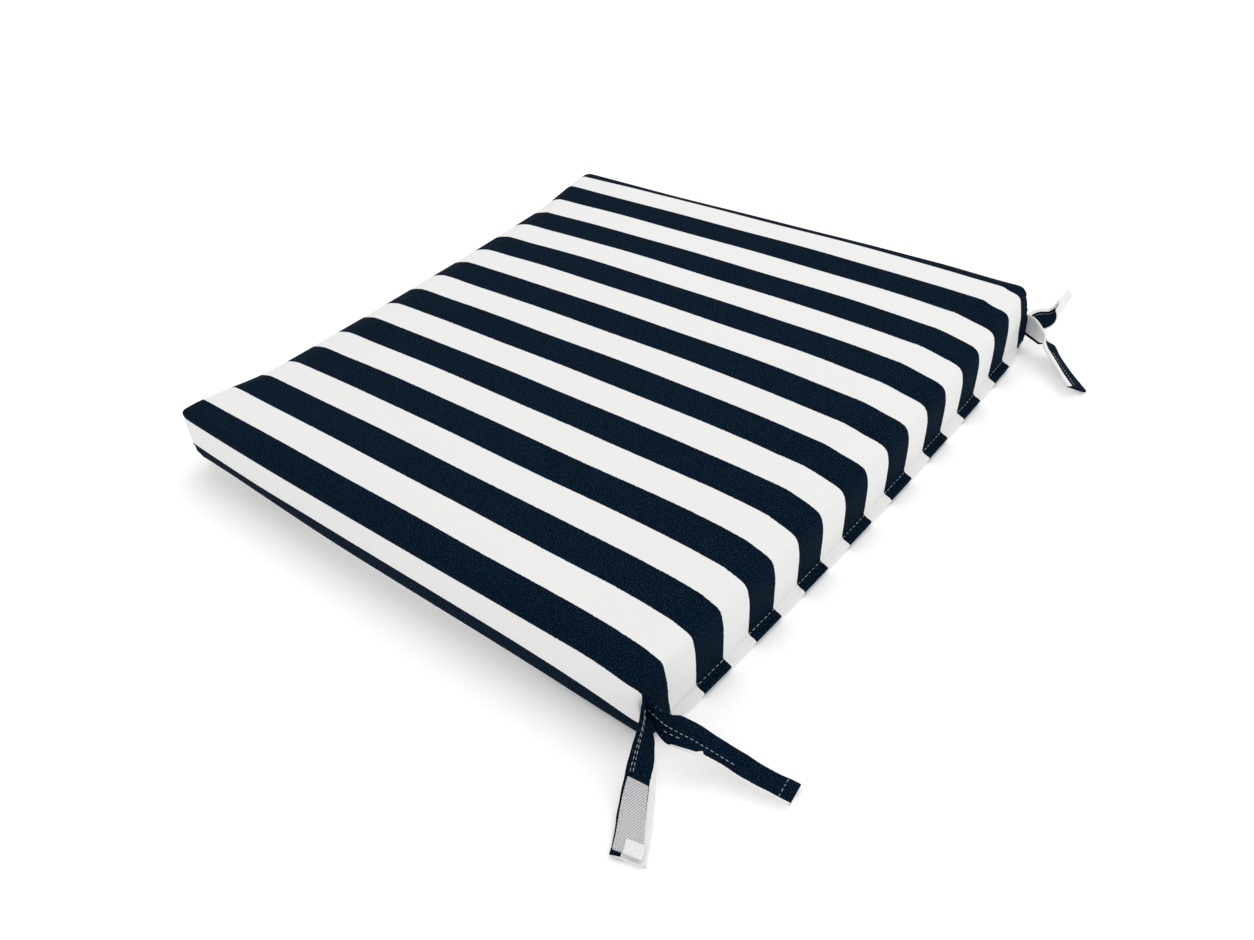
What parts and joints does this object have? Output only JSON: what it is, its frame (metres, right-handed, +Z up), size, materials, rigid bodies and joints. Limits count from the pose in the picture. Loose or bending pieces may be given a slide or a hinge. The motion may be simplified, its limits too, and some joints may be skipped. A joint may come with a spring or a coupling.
{
  "type": "chair cushion",
  "caption": "Flat filled box cushion for a seat, in a striped cover hemmed along the back edge, with sewn ties at the back corners.",
  "frame": {"origin": "centre of the flat underside, on the surface the cushion rests on", "axes": "+Z up through the cushion's thickness; +Y towards the back edge, where the ties are sewn; +X towards the right side, seen from the front with the cushion lying on its back; the stripes run along Y"},
  "size_m": [0.5272, 0.4835, 0.052],
  "materials": {
    "striped_cloth": "matt plain weave in navy and white stripes 22 mm wide; the colour here is the mean of the two",
    "touch_tape": "grey woven touch tape with a fine diagonal rib",
    "soft_patch": "soft white brushed pile"
  },
  "bodies": {
    "root": {"cushion": "striped_cloth", "tie_right_side": "striped_cloth", "tie_right_back": "striped_cloth", "tie_left_side": "striped_cloth", "tie_left_back": "striped_cloth", "touch_tape": "touch_tape", "soft_patch": "soft_patch"}
  },
  "joints": []
}
